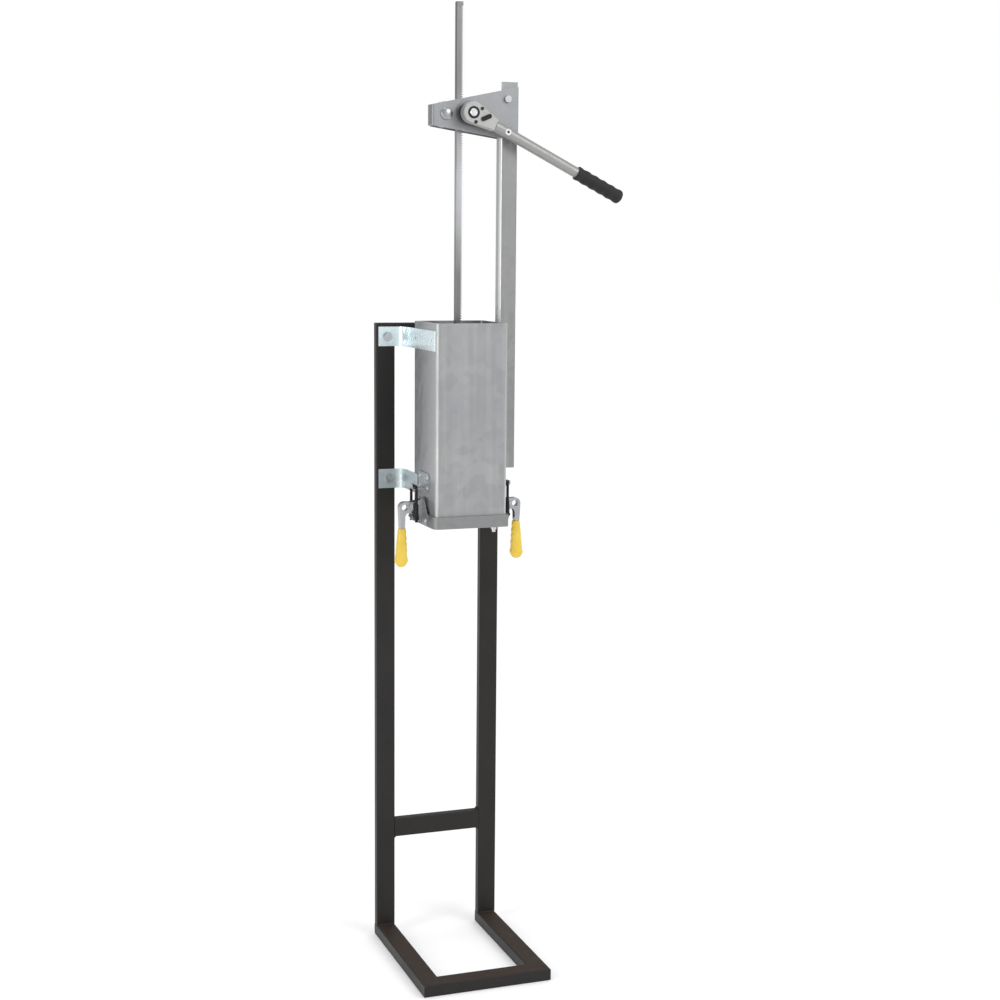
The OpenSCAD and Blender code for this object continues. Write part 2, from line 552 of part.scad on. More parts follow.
// the right grip is pushed a little further up its lever
function grip_up(s) = s > 0 ? 6 : 0;
module lever_profile(g) {
  difference() {
    union() {
      translate(lp) circle(r = 8.5, $fn = 48);
      translate(lt) circle(r = 7.2, $fn = 48);
      polygon([[lp[0] - 8.4, lp[1]], [lt[0] - 7.1, lt[1]], [lt[0] + 7.1, lt[1]], [lp[0] + 8.4, lp[1]]]);
      translate([118, 956]) circle(r = 11.5, $fn = 56);
      polygon([[lp[0], lp[1] + 8.5], [118, 967.5], [129.5, 956], [127.5, 914 + g], [118, 914 + g], [117.5, 938], [104, 946]]);
    }
    translate([118, 956]) circle(r = 6.75, $fn = 48);
    translate([110.2, 938]) circle(r = 6.8, $fn = 40);
    translate([103.4, 920]) square([14.2, 18]);
  }
}
module latch_lever(s) {
  color(c_zinc) mir(s) {
    difference() {
      slab_y(-8, 8) lever_profile(grip_up(s));
      // the folded channel is open between its two cheeks, and closed along its outer edge
      slab_y(-5.5, 5.5) difference() {
        translate([80, 925]) square([45.5, 60]);
        translate([118, 956]) circle(r = 9.2, $fn = 48);
      }
      slab_y(-5.5, 5.5) translate([110, 916 + grip_up(s)]) square([15.4, 12]);
      translate([lp[0], 0, lp[1]]) cyl_y(3.05, -20, 20, 32);
      translate([lt[0], 0, lt[1]]) cyl_y(4.55, -20, 20, 32);
    }
    // shank that the grip is pushed on
    translate([119, -3, 866 + grip_up(s)]) cube([6, 6, 54]);
    translate([118, -5.6, 914 + grip_up(s)]) cube([9.5, 11.2, 3]);
  }
}
module latch_grip(s) {
  color(c_yellow) mir(s) translate([0, 0, grip_up(s)]) difference() {
    hull() {
      translate([122.5, 0, 910]) scale([1, 0.8, 1]) cylinder(r = 8, h = 3.6, $fn = 28);
      translate([123.6, 0, 880]) scale([1, 0.85, 1]) cylinder(r = 11.6, h = 0.5, $fn = 28);
      translate([124.2, 0, 852]) scale([1, 0.85, 1]) cylinder(r = 13.7, h = 0.5, $fn = 28);
      translate([124.4, 0, 845]) scale([1, 0.82, 0.8]) sphere(r = 13.7, $fn = 28);
    }
    translate([118.9, -3.1, 865]) cube([6.2, 6.2, 60]);
  }
}
module u_bolt(s) {
  r = 2.8;
  color(c_black) mir(s) translate([lt[0], 0, 0]) {
    difference() {
      union() {
        for (y = [-leg_y, leg_y]) translate([0, y, lt[1]]) cylinder(r = r, h = 993 - lt[1] - 0.2, $fn = 32);
        translate([0, -leg_y + 7, 993 + 7 - 0.2]) cyl_y(r, 0, 2 * leg_y - 14, 32);
        for (m = [0, 1]) mirror([0, m, 0]) translate([0, leg_y - 7, 992.8]) rotate([0, -90, 0]) rotate_extrude(angle = 90, $fn = 48) translate([7, 0]) circle(r = r, $fn = 32);
      }
    }
    translate([0, 0, lt[1]]) cyl_y(4.5, -leg_y - 4.5, leg_y + 4.5, 40);
    for (y = [-leg_y, leg_y]) translate([0, y, lt[1] + 3]) cylinder(r = 4.3, h = 24, $fn = 40);
    for (y = [-leg_y, leg_y]) translate([0, y, lt[1] - 9]) cylinder(r = r, h = 10, $fn = 32);
  }
}
module keeper(s) {
  // hook plate on the barrel's side, with a lipped tongue under the bolt's bar
  color(c_bright) mir(s) difference() {
    union() {
      translate([bh, 0, 0]) rotate([90, 0, 90]) linear_extrude(2.5)
        polygon([[-30, 989], [30, 989], [33, 992], [33, 1023], [30, 1026], [-30, 1026], [-33, 1023], [-33, 992]]);
      slab_y(-11, 11) polygon([[bh, 990], [bh + 2.5, 990], [bh + 8, 992.6], [103, 993.6], [106, 996.6], [106, 1003.5], [103.4, 1003.5],
        [103.4, 997.9], [101.8, 996.6], [bh + 8, 996], [bh, 1000]]);
    }
    for (y = [-24, 24]) for (z = [997, 1017]) translate([0, y, z]) cyl_x(2.5, 74, 79, 32);
  }
}
module rivet_x(x0, x1) {
  // shank from x0 to x1, with a domed head outside x1
  cyl_x(2.45, x0, x1, 32);
  translate([x1, 0, 0]) rotate([0, 90, 0]) rotate_extrude($fn = 36) polygon([[0, 0], [4.6, 0], [4.1, 1.3], [2.6, 2.2], [0, 2.4]]);
}
module latch_rivets() {
  color(c_bolt) for (s = [-1, 1]) mir(s) {
    for (y = [-24, 24]) for (z = [997, 1017]) translate([0, y, z]) rivet_x(bh - barrel_wall, bh + 2.5);
    for (y = [-29, 29]) translate([0, y, 932]) rivet_x(75.5, 82.5);
    // lever's pivot pin, riveted over both cheeks
    translate([lp[0], 0, lp[1]]) { cyl_y(3, -11, 11, 32); cyl_y(5.2, -12.6, -11, 40); cyl_y(5.2, 11, 12.6, 40); }
  }
}
module left_latch_base() { latch_base(-1); }
module left_latch_lever() { latch_lever(-1); }
module left_latch_grip() { latch_grip(-1); }
module left_u_bolt() { u_bolt(-1); }
module left_keeper() { keeper(-1); }
module right_latch_base() { latch_base(1); }
module right_latch_lever() { latch_lever(1); }
module right_latch_grip() { latch_grip(1); }
module right_u_bolt() { u_bolt(1); }
module right_keeper() { keeper(1); }

left_upright();
right_upright();
top_rail();
cross_rail();
left_foot();
right_foot();
front_bar();
tube_end_caps();
upper_left_bracket();
upper_right_bracket();
lower_left_bracket();
lower_right_bracket();
bracket_bolts();
bracket_nuts();
bracket_screws();
barrel();
die_frame();
die_plate();
die_screws();
mast();
mast_spacer();
mast_bolts();
mast_nuts();
head_front_plate();
head_rear_plate();
head_bolts();
head_nuts();
front_bush();
rear_bush();
pinion();
pinion_shaft();
shaft_pins();
drive_socket();
guide_roller();
roller_spacers();
roller_axle();
rack();
plunger_plate();
plunger_wiper();
plunger_screws();
ratchet_housing();
ratchet_cover();
ratchet_gear();
release_button();
reversing_lever();
cover_screws();
handle_tube();
handle_screw();
handle_grip();
left_latch_base();
left_latch_lever();
left_latch_grip();
left_u_bolt();
left_keeper();
right_latch_base();
right_latch_lever();
right_latch_grip();
right_u_bolt();
right_keeper();
latch_rivets();
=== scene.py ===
import math

import bmesh
import bpy
from mathutils import Matrix, Vector, noise


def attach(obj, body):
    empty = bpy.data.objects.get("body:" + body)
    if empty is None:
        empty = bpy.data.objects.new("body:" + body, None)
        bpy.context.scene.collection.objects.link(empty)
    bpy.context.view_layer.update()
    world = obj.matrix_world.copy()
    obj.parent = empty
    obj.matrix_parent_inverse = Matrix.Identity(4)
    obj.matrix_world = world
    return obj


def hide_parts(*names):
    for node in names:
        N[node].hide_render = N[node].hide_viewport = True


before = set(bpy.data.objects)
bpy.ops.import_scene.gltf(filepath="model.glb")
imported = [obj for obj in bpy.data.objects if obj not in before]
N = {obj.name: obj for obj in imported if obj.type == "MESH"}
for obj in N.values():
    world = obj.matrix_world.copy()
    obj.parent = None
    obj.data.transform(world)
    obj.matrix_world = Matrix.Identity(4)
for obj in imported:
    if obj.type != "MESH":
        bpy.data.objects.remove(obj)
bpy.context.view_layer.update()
AY = 0.175                      # the barrel's axis stands this far behind the origin
AXIS = Vector((0.00773375, AY, 1.736))    # pinion's axis, at the barrel's middle plane
TILT = math.radians(26.6)                 # the lever's slope below level


# ------------------------------------------------------------------ camera
def make_camera():
    yaw, pitch, roll = 0.351158959, -0.140476167, 0.00850552227
    sy, cy = math.sin(yaw), math.cos(yaw)
    F = Vector((sy * math.cos(pitch), cy * math.cos(pitch), math.sin(pitch)))
    R = Vector((cy, -sy, 0))
    U = R.cross(F)
    R2 = R * math.cos(roll) + U * math.sin(roll)
    U2 = -R * math.sin(roll) + U * math.cos(roll)
    cam = bpy.data.cameras.new("camera")
    cam.sensor_width = 36.0
    cam.lens = 36.0 * 1.77045860
    cam.clip_end = 200
    o = bpy.data.objects.new("camera", cam)
    m = Matrix((R2, U2, -F)).transposed().to_4x4()
    m.translation = Vector((-1.1498, -3.2026, 1.4713))
    o.matrix_world = m
    bpy.context.scene.collection.objects.link(o)
    bpy.context.scene.camera = o


make_camera()


# ------------------------------------------------------------------ node helpers
class Mat:
    """A small builder around a Principled material."""

    def __init__(self, name):
        self.m = bpy.data.materials.new(name)
        self.m.use_nodes = True
        self.t = self.m.node_tree
        self.t.nodes.clear()
        self.out = self.t.nodes.new("ShaderNodeOutputMaterial")
        self.p = self.t.nodes.new("ShaderNodeBsdfPrincipled")
        self.t.links.new(self.p.outputs[0], self.out.inputs[0])
        self.co = self.t.nodes.new("ShaderNodeTexCoord").outputs["Object"]

    def set(self, **kw):
        for k, v in kw.items():
            self.p.inputs[k.replace("_", " ")].default_value = v
        return self

    def link(self, a, b):
        self.t.links.new(a, b)

    def node(self, kind, **kw):
        n = self.t.nodes.new(kind)
        for k, v in kw.items():
            if hasattr(n, k):
                setattr(n, k, v)
            else:
                n.inputs[k.replace("_", " ")].default_value = v
        return n

    def scaled(self, s):
        n = self.node("ShaderNodeMapping")
        self.link(self.co, n.inputs[0])
        n.inputs["Scale"].default_value = s if hasattr(s, "__len__") else (s, s, s)
        return n.outputs[0]

    def noise(self, scale, detail=4.0, rough=0.55, stretch=None):
        n = self.node("ShaderNodeTexNoise")
        n.inputs["Scale"].default_value = scale
        n.inputs["Detail"].default_value = detail
        n.inputs["Roughness"].default_value = rough
        self.link(self.scaled(stretch) if stretch else self.co, n.inputs["Vector"])
        return n.outputs["Fac"]

    def voronoi(self, scale, feature="F1", out="Distance", stretch=None, rand=1.0):
        n = self.node("ShaderNodeTexVoronoi")
        n.feature = feature
        n.inputs["Scale"].default_value = scale
        n.inputs["Randomness"].default_value = rand
        self.link(self.scaled(stretch) if stretch else self.co, n.inputs["Vector"])
        return n.outputs[out]

    def ramp(self, fac, stops, interp="LINEAR"):
        n = self.node("ShaderNodeValToRGB")
        n.color_ramp.interpolation = interp
        e = n.color_ramp.elements
        while len(e) < len(stops):
            e.new(0.5)
        for i, (pos, col) in enumerate(stops):
            e[i].position = pos
            e[i].color = (col, col, col, 1) if not hasattr(col, "__len__") else (*col[:3], 1)
        self.link(fac, n.inputs[0])
        return n.outputs[0]

    def span(self, fac, a, b, lo, hi):
        n = self.node("ShaderNodeMapRange")
        n.inputs["From Min"].default_value = a
        n.inputs["From Max"].default_value = b
        n.inputs["To Min"].default_value = lo
        n.inputs["To Max"].default_value = hi
        self.link(fac, n.inputs["Value"])
        return n.outputs[0]

    def math(self, op, a, b):
        n = self.node("ShaderNodeMath")
        n.operation = op
        for i, v in enumerate((a, b)):
            if hasattr(v, "is_linked") or hasattr(v, "links"):
                self.link(v, n.inputs[i])
            else:
                n.inputs[i].default_value = v
        return n.outputs[0]

    def mix(self, fac, a, b, mode="MIX"):
        n = self.node("ShaderNodeMix")
        n.data_type = "RGBA"
        n.blend_type = mode
        for sock, v in ((n.inputs[0], fac), (n.inputs[6], a), (n.inputs[7], b)):
            if hasattr(v, "links"):
                self.link(v, sock)
            elif hasattr(v, "__len__"):
                sock.default_value = (*v[:3], 1)
            else:
                sock.default_value = v
        return n.outputs[2]

    def pos(self):
        n = self.node("ShaderNodeSeparateXYZ")
        self.link(self.co, n.inputs[0])
        return n.outputs

    def normal_z(self):
        g = self.node("ShaderNodeNewGeometry")
        n = self.node("ShaderNodeSeparateXYZ")
        self.link(g.outputs["Normal"], n.inputs[0])
        return n.outputs[2]

    def edge(self, radius=0.0015, lo=0.02, hi=0.22):
        """0 on flats and 1 along worn edges."""
        b = self.node("ShaderNodeBevel")
        b.samples = 4
        b.inputs["Radius"].default_value = radius
        g = self.node("ShaderNodeNewGeometry")
        d = self.node("ShaderNodeVectorMath")
        d.operation = "DOT_PRODUCT"
        self.link(b.outputs[0], d.inputs[0])
        self.link(g.outputs["Normal"], d.inputs[1])
        inv = self.math("SUBTRACT", 1.0, d.outputs["Value"])
        return self.span(inv, lo, hi, 0.0, 1.0)

    def bump(self, *layers):
        """layers are (height socket, strength, distance in metres)"""
        last = None
        for h, s, d in layers:
            n = self.node("ShaderNodeBump")
            n.inputs["Strength"].default_value = s
            n.inputs["Distance"].default_value = d
            self.link(h, n.inputs["Height"])
            if last is not None:
                self.link(last, n.inputs["Normal"])
            last = n.outputs[0]
        self.link(last, self.p.inputs["Normal"])
        return self


# ------------------------------------------------------------------ materials
def galvanised(name, base=(0.355, 0.362, 0.365), spangle=60.0, rough=(0.36, 0.52), streak=True):
    m = Mat(name)
    cells = m.voronoi(spangle, out="Color")
    sep = m.node("ShaderNodeSeparateColor")
    m.link(cells, sep.inputs[0])
    cell = sep.outputs[0]
    cloud = m.noise(5.0, 5.0, 0.6)
    fine = m.noise(420.0, 3.0, 0.6)
    d = m.mix(m.span(cell, 0, 1, 0.0, 1.0), tuple(c * 0.93 for c in base), tuple(min(1, c * 1.07) for c in base))
    d = m.mix(m.span(cloud, 0.35, 0.65, 0.0, 0.55), d, tuple(c * 0.86 for c in base[:2]) + (base[2] * 0.90,))
    if streak:
        s = m.noise(1.0, 4.0, 0.6, stretch=(55.0, 55.0, 1.6))
        d = m.mix(m.span(s, 0.45, 0.75, 0.0, 0.28), d, (0.55, 0.56, 0.58))
    sc = m.noise(1.0, 2.0, 0.5, stretch=(900.0, 900.0, 14.0))
    d = m.mix(m.span(sc, 0.66, 0.74, 0.0, 0.20), d, (0.62, 0.63, 0.64))
    d = m.mix(m.span(m.edge(0.0012), 0, 1, 0.0, 0.35), d, (0.68, 0.69, 0.70))
    if name == "galvanised_barrel":
        # painted shading: the side faces are made lighter towards the front, standing in for the reflection that
        # lightens them there
        y = m.pos()[1]
        nx = m.node("ShaderNodeSeparateXYZ")
        m.link(m.node("ShaderNodeNewGeometry").outputs["Normal"], nx.inputs[0])
        side = m.span(m.math("ABSOLUTE", nx.outputs[0], 0.0), 0.6, 0.95, 0.0, 1.0)
        # painted reflection: mask for the lighter front part of the side faces
        painted_side_sheen = m.math("MULTIPLY", side, m.span(m.math("ADD", y, m.span(m.noise(9.0, 3.0, 0.5), 0.3, 0.7, -0.012, 0.012)), AY + 0.03, AY - 0.07, 0.0, 0.55))
        d = m.mix(painted_side_sheen, d, (0.60, 0.61, 0.615))
        # painted highlights: the front bends and the upward-facing rim are lightened
        front = m.span(nx.outputs[1], -0.05, -0.25, 0.0, 1.0)
        ax = m.math("ABSOLUTE", nx.outputs[0], 0.0)
        painted_bend_highlight = m.math("MULTIPLY", m.math("MULTIPLY", m.span(ax, 0.20, 0.50, 0.0, 1.0), m.span(ax, 0.98, 0.85, 0.0, 1.0)), front)
        d = m.mix(m.math("MULTIPLY", painted_bend_highlight, m.span(m.noise(16.0, 3.0, 0.5), 0.3, 0.7, 0.30, 0.58)), d, (0.66, 0.67, 0.64))
        # painted highlight: faces that look up, such as the rim, are lightened
        d = m.mix(m.span(nx.outputs[2], 0.35, 0.85, 0.0, 0.75), d, (0.80, 0.81, 0.79))
    if name == "galvanised_mast":
        # painted light: the wall that faces the rack is lightened, with a near-white painted highlight along its front
        # fold
        y = m.pos()[1]
        nx = m.node("ShaderNodeSeparateXYZ")
        m.link(m.node("ShaderNodeNewGeometry").outputs["Normal"], nx.inputs[0])
        side = m.span(nx.outputs[0], -0.30, -0.75, 0.0, 1.0)
        d = m.mix(m.math("MULTIPLY", side, 0.70), d, (0.60, 0.605, 0.60))
        # painted highlight: near-white band at the front of the rack-facing wall
        d = m.mix(m.math("MULTIPLY", side, m.span(y, AY - 0.0030, AY - 0.0055, 0.0, 0.90)), d, (0.93, 0.935, 0.93))
    m.link(d, m.p.inputs["Base Color"])
    r = m.math("ADD", m.span(cell, 0, 1, rough[0], rough[1]), m.span(cloud, 0.3, 0.7, -0.04, 0.06))
    m.link(r, m.p.inputs["Roughness"])
    m.set(Metallic=0.86)
    m.bump((cloud, 0.10, 0.0009), (cell, 0.05, 0.0002), (fine, 0.06, 0.00008))
    return m.m


def painted(name):
    m = Mat(name)
    peel = m.noise(260.0, 2.0, 0.5)
    cloud = m.noise(7.0, 4.0, 0.6)
    nz = m.normal_z()
    z = m.pos()[2]
    d = m.mix(m.span(cloud, 0.35, 0.65, 0, 1), (0.0215, 0.0202, 0.0196), (0.0265, 0.0248, 0.0238))
    # fine clay dust that settled on faces that look up, mostly near the floor
    up = m.math("MULTIPLY", m.span(nz, 0.55, 0.95, 0, 1), m.span(z, 0.0, 0.35, 1.0, 0.25))
    dust = m.math("MULTIPLY", up, m.span(m.noise(38.0, 6.0, 0.7), 0.32, 0.62, 0.25, 1.0))
    d = m.mix(m.span(dust, 0, 1, 0, 0.55), d, (0.069, 0.040, 0.024))
    splash = m.math("MULTIPLY", m.span(m.noise(95.0, 5.0, 0.75), 0.62, 0.74, 0, 1), m.span(z, 0.0, 0.30, 0.28, 0.0))
    d = m.mix(splash, d, (0.15, 0.13, 0.11))
    d = m.mix(m.span(m.edge(0.0016, 0.04, 0.3), 0, 1, 0, 0.35), d, (0.12, 0.118, 0.115))
    m.link(d, m.p.inputs["Base Color"])
    m.link(m.math("ADD", m.span(cloud, 0.3, 0.7, 0.36, 0.48), m.math("MULTIPLY", dust, 0.35)), m.p.inputs["Roughness"])
    m.set(Metallic=0.0)
    m.p.inputs["Specular IOR Level"].default_value = 0.17
    m.bump((peel, 0.10, 0.00025), (m.noise(30.0, 3.0, 0.6), 0.06, 0.0008))
    return m.m


def metal(name, base, rough=(0.25, 0.38), metallic=1.0, turned=None, edge=(0.8, 0.8, 0.8), tarnish=(0.25, 0.24, 0.22), tarn=0.25, bump=0.06, dark_ends_and_glint=False, socket=False):
    m = Mat(name)
    cloud = m.noise(60.0, 5.0, 0.65)
    fine = m.noise(900.0, 2.0, 0.5)
    d = m.mix(m.span(cloud, 0.42, 0.70, 0, tarn), base, tarnish)
    if turned:
        lines = m.noise(1.0, 2.0, 0.5, stretch=turned)
        d = m.mix(m.span(lines, 0.4, 0.7, 0, 0.22), d, edge)
        h = lines
    else:
        h = fine
    if dark_ends_and_glint:
        # darker towards both ends, and a painted glint lightens the length that it works on
        z = m.math("ADD", m.pos()[2], m.span(m.noise(14.0, 3.0, 0.5), 0.3, 0.7, -0.02, 0.02))
        dark = m.math("MAXIMUM", m.span(z, 1.70, 1.80, 0.0, 0.75), m.span(z, 1.50, 1.42, 0.0, 0.70))
        bright = m.math("MULTIPLY", m.span(z, 1.50, 1.55, 0.0, 0.6), m.span(z, 1.68, 1.62, 0.0, 1.0))
        d = m.mix(dark, d, (0.150, 0.150, 0.148))
        d = m.mix(bright, d, (0.51, 0.52, 0.55))
    d = m.mix(m.span(m.edge(0.0006, 0.03, 0.3), 0, 1, 0, 0.5), d, edge)
    if socket:
        # painted shade: the key's socket is darkened where ambient occlusion finds a hollow
        ao = m.node("ShaderNodeAmbientOcclusion")
        ao.samples = 8
        ao.only_local = True
        ao.inputs["Distance"].default_value = 0.004
        d = m.mix(m.span(ao.outputs["AO"], 0.55, 0.85, 1.0, 0.0), d, (0.012, 0.012, 0.012))
    m.link(d, m.p.inputs["Base Color"])
    m.link(m.span(cloud, 0.3, 0.7, rough[0], rough[1]), m.p.inputs["Roughness"])
    m.set(Metallic=metallic)
    m.bump((h, bump, 0.00012), (cloud, 0.05, 0.0003))
    return m.m


def black_oxide(name):
    m = Mat(name)
    cloud = m.noise(80.0, 5.0, 0.6)
    d = m.mix(m.span(cloud, 0.4, 0.7, 0, 1), (0.012, 0.012, 0.013), (0.030, 0.028, 0.027))
    d = m.mix(m.span(m.edge(0.0005, 0.03, 0.3), 0, 1, 0, 0.55), d, (0.16, 0.155, 0.15))
    m.link(d, m.p.inputs["Base Color"])
    m.link(m.span(cloud, 0.3, 0.7, 0.32, 0.5), m.p.inputs["Roughness"])
    m.set(Metallic=0.6)
    m.bump((m.noise(700.0, 2.0, 0.5), 0.08, 0.0001), (cloud, 0.08, 0.0003))
    return m.m


def vinyl(name):
    m = Mat(name)
    cloud = m.noise(30.0, 4.0, 0.6)
    grime = m.noise(120.0, 6.0, 0.7)
    d = m.mix(m.span(cloud, 0.35, 0.65, 0, 1), (0.77, 0.53, 0.048), (0.83, 0.615, 0.088))
    d = m.mix(m.span(grime, 0.55, 0.75, 0, 0.5), d, (0.55, 0.33, 0.06))
    m.link(d, m.p.inputs["Base Color"])
    m.link(m.span(cloud, 0.3, 0.7, 0.30, 0.42), m.p.inputs["Roughness"])
    m.p.inputs["Subsurface Weight"].default_value = 0.12
    m.p.inputs["Subsurface Radius"].default_value = (0.006, 0.003, 0.001)
    m.p.inputs["Subsurface Scale"].default_value = 0.5
    m.bump((m.noise(260.0, 3.0, 0.6), 0.10, 0.0003), (cloud, 0.1, 0.0008))
    return m.m


def rubber(name, dust=0.25):
    m = Mat(name)
    grain = m.voronoi(1500.0)
    cloud = m.noise(45.0, 5.0, 0.65)
    d = m.mix(m.span(cloud, 0.4, 0.68, 0, dust * 2), (0.007, 0.007, 0.0073), (0.024, 0.023, 0.022))
    m.link(d, m.p.inputs["Base Color"])
    m.p.inputs["Specular IOR Level"].default_value = 0.38
    m.link(m.span(cloud, 0.3, 0.7, 0.48, 0.66), m.p.inputs["Roughness"])
    m.bump((grain, 0.20, 0.0002), (cloud, 0.12, 0.0005))
    return m.m


M = {
    "galv_barrel": galvanised("galvanised_barrel"),
    "galv_frame": galvanised("galvanised_frame", base=(0.275, 0.282, 0.280), spangle=90.0, streak=False),
    "galv_mast": galvanised("galvanised_mast", base=(0.295, 0.30, 0.293), spangle=110.0),
    "galv_head": galvanised("galvanised_head", base=(0.305, 0.312, 0.320), spangle=85.0, streak=False),
    "galv_small": galvanised("galvanised_small", base=(0.43, 0.435, 0.445), spangle=240.0, rough=(0.22, 0.40), streak=False),
    "paint": painted("dark_paint"),
    "zinc": metal("bright_zinc", (0.82, 0.91, 0.93), (0.20, 0.36), 0.70, tarnish=(0.66, 0.83, 0.88), tarn=0.8, edge=(0.96, 0.98, 0.99)),
    "zinc_low": metal("dull_zinc", (0.60, 0.665, 0.685), (0.26, 0.42), 0.74, tarnish=(0.50, 0.61, 0.65), tarn=0.8, edge=(0.85, 0.90, 0.92)),
    "bolt_dull": metal("dull_zinc_bolt", (0.44, 0.45, 0.46), (0.24, 0.38), 1.0, tarnish=(0.26, 0.26, 0.26), tarn=0.55),
    "screw": metal("socket_screw", (0.66, 0.67, 0.68), (0.26, 0.38), 0.95, tarnish=(0.42, 0.42, 0.41), socket=True),
    "bush": metal("bush_steel", (0.25, 0.262, 0.285), (0.30, 0.42), 0.92, tarnish=(0.17, 0.175, 0.19), tarn=0.5),
    "bolt": metal("zinc_bolt", (0.62, 0.63, 0.64), (0.20, 0.34), 1.0, tarnish=(0.40, 0.40, 0.38), tarn=0.35),
    "rack": metal("rack_steel", (0.32, 0.324, 0.33), (0.30, 0.44), 0.92, turned=(900.0, 900.0, 12.0), tarnish=(0.27, 0.27, 0.28), tarn=0.4, dark_ends_and_glint=True),
    "steel": metal("machined_steel", (0.46, 0.46, 0.46), (0.22, 0.34), 1.0, tarnish=(0.30, 0.28, 0.25)),
    "alloy": metal("cast_alloy", (0.43, 0.44, 0.45), (0.38, 0.52), 1.0, tarnish=(0.30, 0.29, 0.27), tarn=0.5, bump=0.15),
    "chrome": metal("satin_chrome", (0.345, 0.345, 0.34), (0.44, 0.56), 0.80, tarnish=(0.35, 0.345, 0.335), tarn=0.3, edge=(0.66, 0.66, 0.65), bump=0.14),
    "chrome_head": metal("satin_chrome_head", (0.415, 0.413, 0.405), (0.44, 0.56), 0.80, tarnish=(0.42, 0.413, 0.40), tarn=0.3, edge=(0.70, 0.70, 0.69), bump=0.14),
    "black": black_oxide("black_oxide"),
    "vinyl": vinyl("yellow_vinyl"),
    "rubber": rubber("black_rubber"),
}

ASSIGN = {
    "paint": ["left_upright", "right_upright", "top_rail", "cross_rail", "left_foot", "right_foot", "front_bar", "tube_end_caps"],
    "galv_barrel": ["barrel"],
    "galv_frame": ["die_frame", "die_plate"],
    "galv_mast": ["mast", "mast_spacer"],
    "galv_head": ["head_front_plate", "head_rear_plate"],
    "galv_small": ["left_latch_base", "right_latch_base", "left_latch_lever", "right_latch_lever", "left_keeper", "right_keeper"],
    "zinc": ["upper_left_bracket", "upper_right_bracket"],
    "zinc_low": ["lower_left_bracket", "lower_right_bracket"],
    "bolt": ["bracket_bolts", "bracket_nuts", "bracket_screws", "die_screws", "mast_bolts", "mast_nuts", "head_nuts",
             "plunger_screws", "release_button", "latch_rivets", "roller_spacers"],
    "bolt_dull": ["head_bolts", "roller_axle"],
    "bush": ["front_bush", "rear_bush"],
    "screw": ["handle_screw"],
    "rack": ["rack"],
    "steel": ["pinion", "pinion_shaft", "guide_roller"],
    "alloy": ["plunger_plate"],
    "chrome": ["handle_tube"],
    "chrome_head": ["ratchet_housing", "ratchet_cover"],
    "black": ["drive_socket", "ratchet_gear", "reversing_lever", "cover_screws", "shaft_pins", "left_u_bolt", "right_u_bolt"],
    "vinyl": ["left_latch_grip", "right_latch_grip"],
    "rubber": ["handle_grip", "plunger_wiper"],
}
for key, names in ASSIGN.items():
    for n in names:
        o = N[n]
        o.data.materials.clear()
        o.data.materials.append(M[key])


# small broken edges on the sheet, cast and machined parts
for n, w in (("barrel", 0.0006), ("die_frame", 0.0008), ("die_plate", 0.0004), ("mast", 0.0004), ("head_front_plate", 0.0005), ("head_rear_plate", 0.0005),
             ("upper_left_bracket", 0.0004), ("upper_right_bracket", 0.0004), ("lower_left_bracket", 0.0004), ("lower_right_bracket", 0.0004),
             ("ratchet_housing", 0.0009), ("ratchet_cover", 0.0005), ("bracket_bolts", 0.0005), ("bracket_nuts", 0.0004), ("head_bolts", 0.0005), ("head_nuts", 0.0004),
             ("drive_socket", 0.0006), ("front_bush", 0.0005), ("rear_bush", 0.0005), ("tube_end_caps", 0.0005), ("plunger_plate", 0.0007),
             ("left_latch_base", 0.0003), ("right_latch_base", 0.0003), ("left_latch_lever", 0.0004), ("right_latch_lever", 0.0004),
             ("left_keeper", 0.0003), ("right_keeper", 0.0003), ("front_bar", 0.0003), ("left_foot", 0.0003), ("right_foot", 0.0003)):
    b = N[n].modifiers.new("broken_edge", "BEVEL")
    b.width = w
    b.segments = 2
    b.limit_method = "ANGLE"
    b.angle_limit = math.radians(38)
    b.harden_normals = False


# ------------------------------------------------------------------ mesh helpers
def new_piece(name, bm, mat, body, replaces=(), smooth=True, angle=None):
    me = bpy.data.meshes.new(name)
    bmesh.ops.recalc_face_normals(bm, faces=bm.faces)
    bm.to_mesh(me)
    bm.free()
    for f in me.polygons:
        f.use_smooth = smooth
    o = bpy.data.objects.new(name, me)
    bpy.context.scene.collection.objects.link(o)
    me.materials.append(mat)
    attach(o, body)
    if replaces:
        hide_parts(*replaces)
    return o


def loft(bm, rings, close=True, cap=True):
    """rings: lists of equal numbers of points; joins them into a closed skin."""
    vs = [[bm.verts.new(p) for p in r] for r in rings]
    n = len(vs[0])
    for a, b in zip(vs, vs[1:]):
        for i in range(n if close else n - 1):
            j = (i + 1) % n
            bm.faces.new((a[i], a[j], b[j], b[i]))
    if cap:
        for r, flip in ((vs[0], True), (vs[-1], False)):
            c = bm.verts.new(sum((v.co for v in r), Vector()) / n)
            for i in range(n):
                j = (i + 1) % n
                bm.faces.new((c, r[j], r[i]) if flip else (c, r[i], r[j]))
    return vs


def tube_along(bm, pts, radius, sides=12, squash=(1.0, 1.0), frame_up=Vector((0, 0, 1))):
    """A closed tube along points; radius is a number or a function of the index."""
    rings = []
    for i, p in enumerate(pts):
        a = pts[max(0, i - 1)]
        b = pts[min(len(pts) - 1, i + 1)]
        t = (Vector(b) - Vector(a)).normalized()
        u = frame_up.cross(t)
        if u.length < 1e-4:
            u = Vector((1, 0, 0)).cross(t)
        u.normalize()
        v = t.cross(u)
        r = radius(i) if callable(radius) else radius
        rings.append([Vector(p) + u * (r * squash[0] * math.cos(2 * math.pi * k / sides)) + v * (r * squash[1] * math.sin(2 * math.pi * k / sides)) for k in range(sides)])
    loft(bm, rings)


